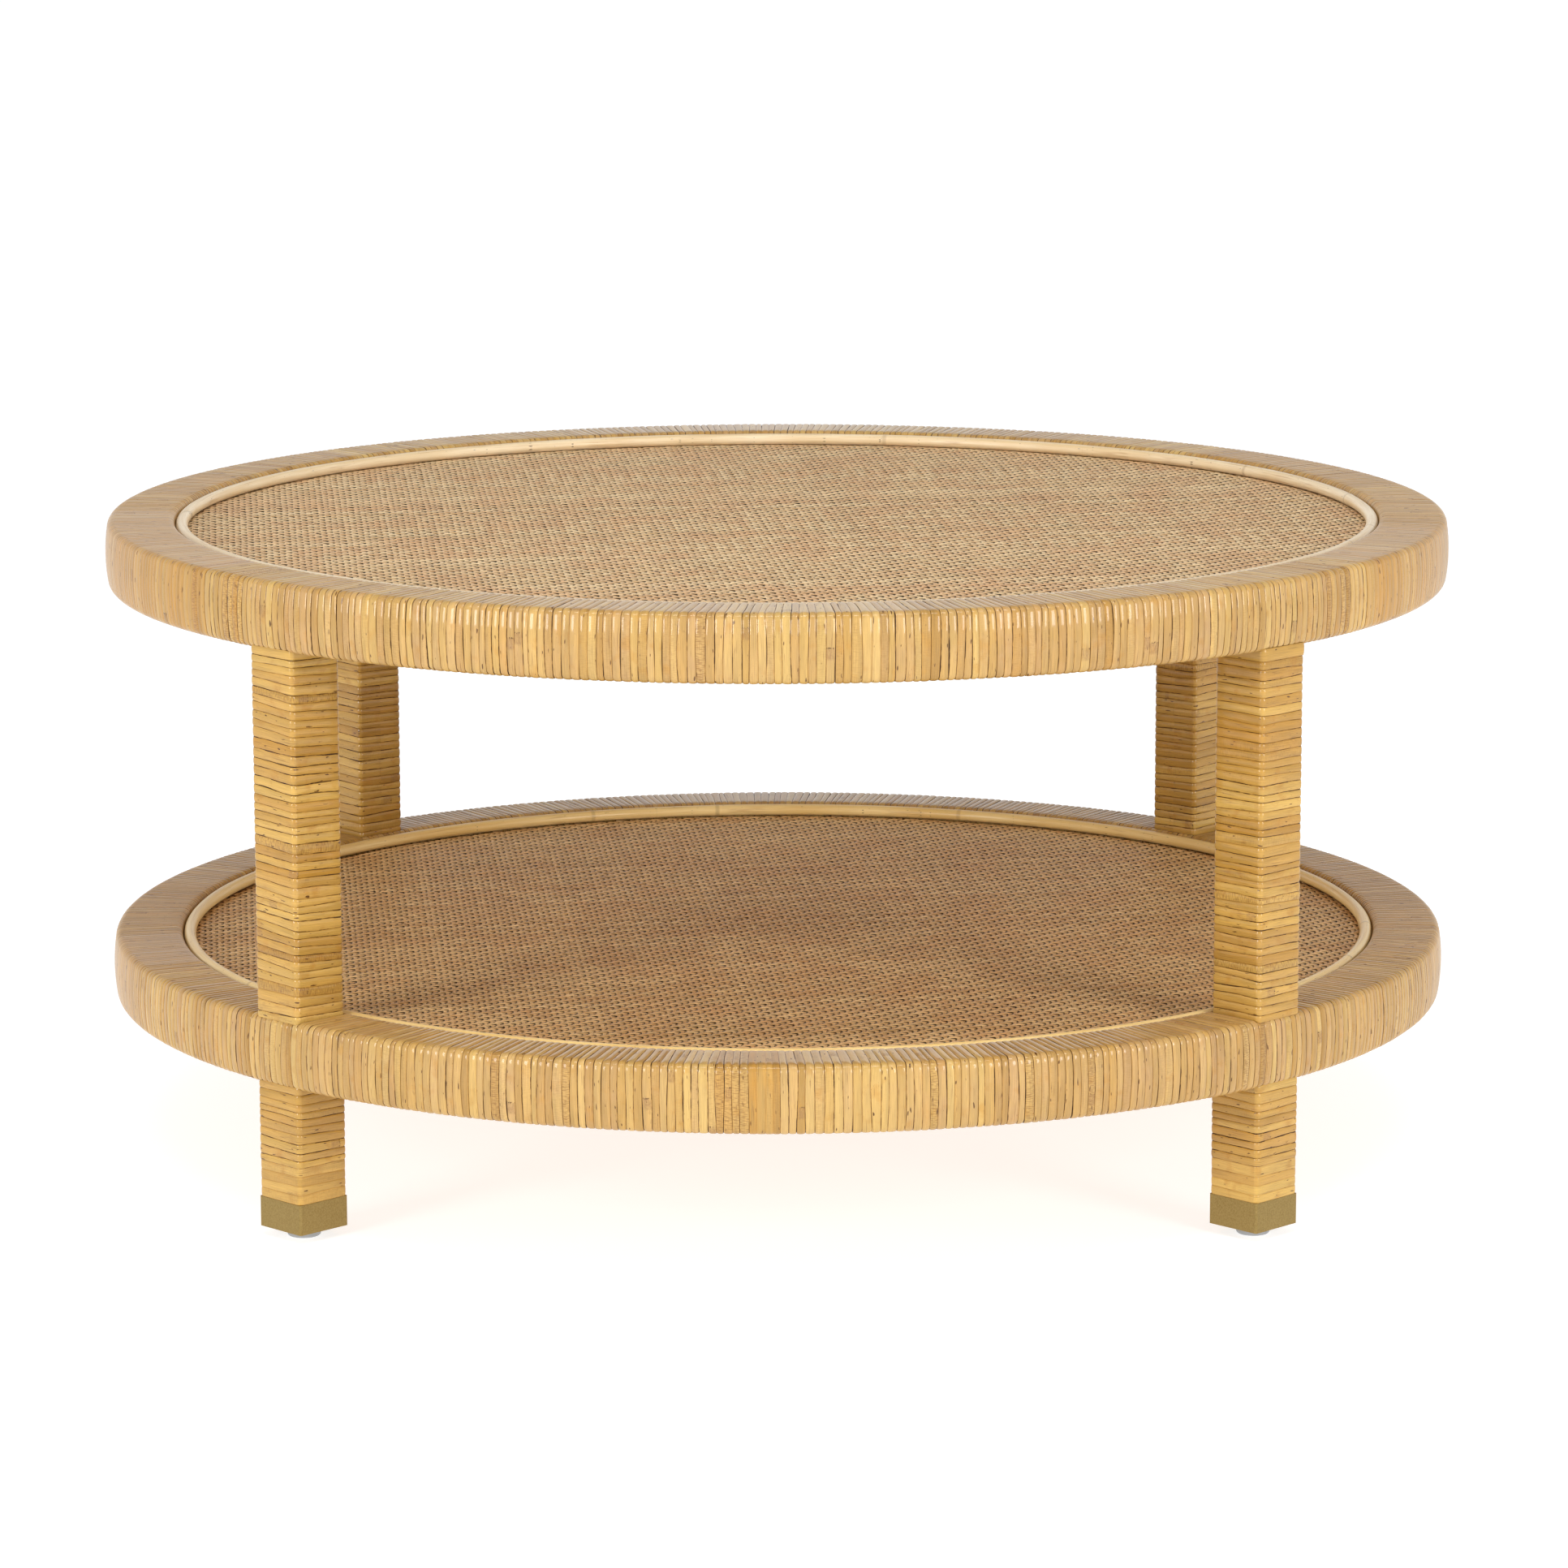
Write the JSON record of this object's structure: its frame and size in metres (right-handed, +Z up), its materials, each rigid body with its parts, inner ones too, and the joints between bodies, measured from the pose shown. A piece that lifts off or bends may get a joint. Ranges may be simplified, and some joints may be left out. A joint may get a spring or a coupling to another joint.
{
  "type": "wicker coffee table",
  "caption": "Round low table with a timber frame wrapped in rattan peel, a woven top, a woven lower shelf and brass-capped feet.",
  "frame": {"origin": "on the floor under the table's centre", "axes": "+Z up, front towards -Y, legs at 45 degrees between X and Y"},
  "size_m": [1.0158, 1.0158, 0.478],
  "materials": {
    "timber": "raw",
    "plywood": "raw",
    "dowel_wood": "raw",
    "peel": "satin",
    "woven_mat": "matt",
    "reed": "satin",
    "ferrule_brass": "satin",
    "pin_brass": "satin",
    "steel": "zinc plated",
    "glide_plastic": "matt"
  },
  "bodies": {
    "frame": {"leg_core_front_left": "timber", "leg_wrap_upper_front_left": "peel", "leg_wrap_lower_front_left": "peel", "ferrule_front_left": "ferrule_brass", "leg_core_front_right": "timber", "leg_wrap_upper_front_right": "peel", "leg_wrap_lower_front_right": "peel", "ferrule_front_right": "ferrule_brass", "leg_core_back_right": "timber", "leg_wrap_upper_back_right": "peel", "leg_wrap_lower_back_right": "peel", "ferrule_back_right": "ferrule_brass", "leg_core_back_left": "timber", "leg_wrap_upper_back_left": "peel", "leg_wrap_lower_back_left": "peel", "ferrule_back_left": "ferrule_brass", "top_rail_core_front": "timber", "top_rail_wrap_front": "peel", "top_rail_core_right": "timber", "top_rail_wrap_right": "peel", "top_rail_core_back": "timber", "top_rail_wrap_back": "peel", "top_rail_core_left": "timber", "top_rail_wrap_left": "peel", "top_leg_facing_front_left": "peel", "top_leg_facing_front_right": "peel", "top_leg_facing_back_right": "peel", "top_leg_facing_back_left": "peel", "top_panel_board": "plywood", "top_mat": "woven_mat", "top_reed": "reed", "shelf_rail_core_front": "timber", "shelf_rail_wrap_front": "peel", "shelf_rail_core_right": "timber", "shelf_rail_wrap_right": "peel", "shelf_rail_core_back": "timber", "shelf_rail_wrap_back": "peel", "shelf_rail_core_left": "timber", "shelf_rail_wrap_left": "peel", "shelf_leg_facing_front_left": "peel", "shelf_leg_facing_front_right": "peel", "shelf_leg_facing_back_right": "peel", "shelf_leg_facing_back_left": "peel", "shelf_panel_board": "plywood", "shelf_mat": "woven_mat", "shelf_reed": "reed", "panel_battens": "timber", "rail_dowels": "dowel_wood", "panel_screws": "steel", "glide_inserts": "steel", "reed_brads": "steel", "ferrule_pins": "pin_brass"},
    "glide_front_left": {"glide_base_front_left": "glide_plastic", "glide_stud_front_left": "steel"},
    "glide_front_right": {"glide_base_front_right": "glide_plastic", "glide_stud_front_right": "steel"},
    "glide_back_right": {"glide_base_back_right": "glide_plastic", "glide_stud_back_right": "steel"},
    "glide_back_left": {"glide_base_back_left": "glide_plastic", "glide_stud_back_left": "steel"}
  },
  "joints": [
    {"name": "glide_travel_front_left", "type": "slide", "parent": "frame", "child": "glide_front_left", "axis": [0, 0, -1], "range_m": [0, 0.01]},
    {"name": "glide_travel_front_right", "type": "slide", "parent": "frame", "child": "glide_front_right", "axis": [0, 0, -1], "range_m": [0, 0.01]},
    {"name": "glide_travel_back_right", "type": "slide", "parent": "frame", "child": "glide_back_right", "axis": [0, 0, -1], "range_m": [0, 0.01]},
    {"name": "glide_travel_back_left", "type": "slide", "parent": "frame", "child": "glide_back_left", "axis": [0, 0, -1], "range_m": [0, 0.01]}
  ]
}
